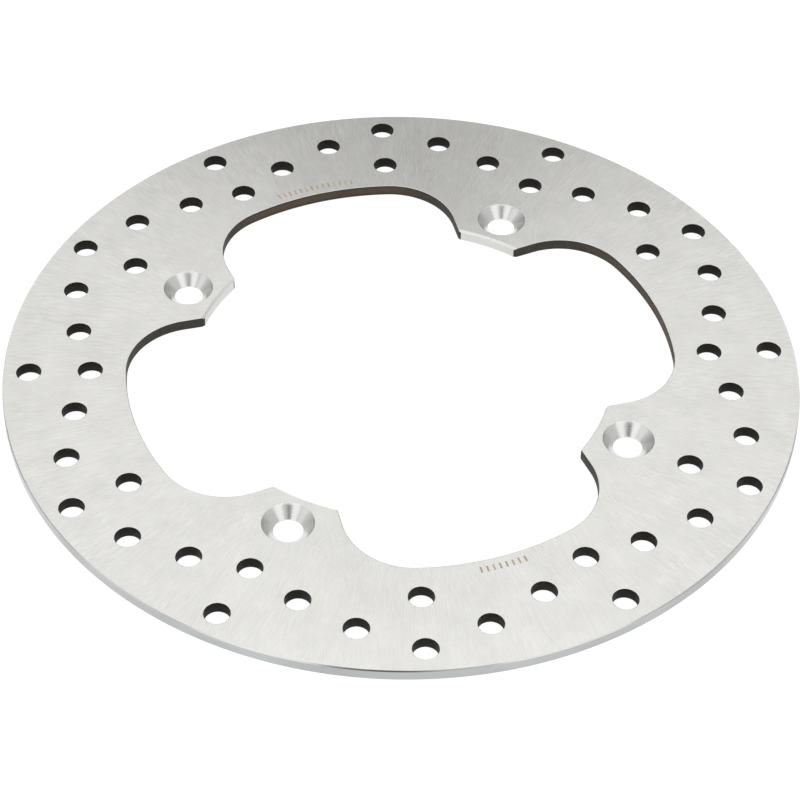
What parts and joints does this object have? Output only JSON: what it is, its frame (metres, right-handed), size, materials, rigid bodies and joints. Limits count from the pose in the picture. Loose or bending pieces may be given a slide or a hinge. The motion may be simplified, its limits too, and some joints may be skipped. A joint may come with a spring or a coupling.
{
  "type": "motorcycle brake disc",
  "caption": "Flat round brake disc: a drilled braking band with inner ears that carry countersunk bolt holes around an open centre.",
  "frame": {"origin": "on the disc axis, on the hub-side face", "axes": "+Z along the disc axis and out of the outer face, where the countersinks are; +X through the middle of one mounting ear"},
  "size_m": [0.292, 0.292, 0.0045],
  "materials": {
    "ground_steel": "ground, fine crossing strokes"
  },
  "bodies": {
    "root": {"brake_disc": "ground_steel"}
  },
  "joints": []
}
